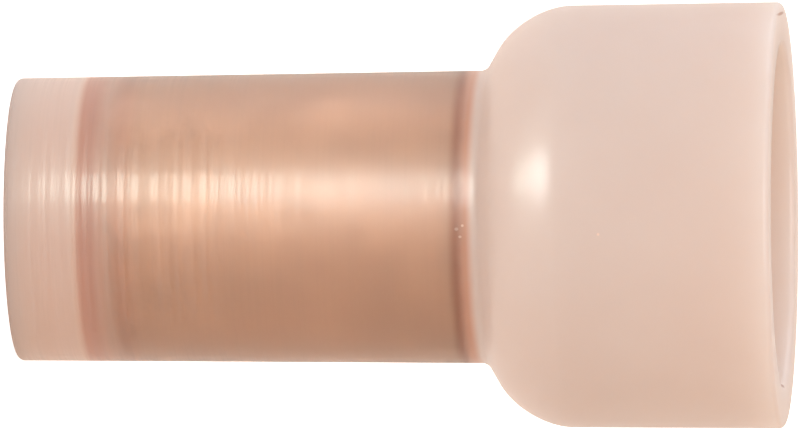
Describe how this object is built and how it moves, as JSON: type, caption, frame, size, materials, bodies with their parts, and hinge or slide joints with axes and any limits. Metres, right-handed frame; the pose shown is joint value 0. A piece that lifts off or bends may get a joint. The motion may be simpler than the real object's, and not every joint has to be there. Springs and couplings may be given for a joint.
{
  "type": "closed-end wire connector",
  "caption": "Closed-end crimp connector: a copper wire ferrule seated inside a milky nylon cap with a narrow closed barrel and a wide bell mouth.",
  "frame": {"origin": "centre of the closed end's flat outer face, on which the part stands", "axes": "+Z along the axis, from the closed end to the mouth; X and Y are alike, because the part is round"},
  "size_m": [0.01, 0.01, 0.018],
  "materials": {
    "moulded_nylon": "natural milky nylon, injection moulded, translucent, satin with fine tool marks on the barrel",
    "drawn_copper": "bare copper tube, drawn and tumbled"
  },
  "bodies": {
    "root": {"insulating_cap": "moulded_nylon", "crimp_sleeve": "drawn_copper"}
  },
  "joints": []
}
